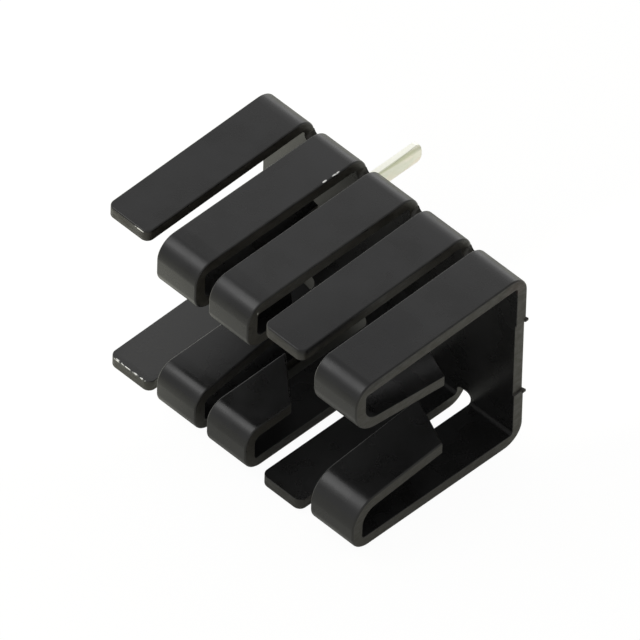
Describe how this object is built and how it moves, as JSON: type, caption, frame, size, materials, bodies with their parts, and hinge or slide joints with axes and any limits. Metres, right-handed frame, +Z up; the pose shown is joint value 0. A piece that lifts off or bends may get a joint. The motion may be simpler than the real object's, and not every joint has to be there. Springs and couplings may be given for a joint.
{
  "type": "u-shaped heat sink",
  "caption": "U-shaped heat sink bent from aluminium sheet, with staggered straight and folded-back fins in two rows and a flat solder pin in its back.",
  "frame": {"origin": "middle of the bounding box in plan, at the height of its lowest point", "axes": "+X along the plate's length towards the near end with the longest folded fins, +Y out of the plate's back along the solder pin, +Z up along the plate's height"},
  "size_m": [0.0383, 0.0334, 0.0257],
  "materials": {
    "black_anodised": "satin black anodised, with browner sheared edges",
    "tinned_metal": "bright tin plating, slightly yellow"
  },
  "bodies": {
    "root": {"heat_sink_body": "black_anodised", "solder_pin": "tinned_metal"}
  },
  "joints": []
}
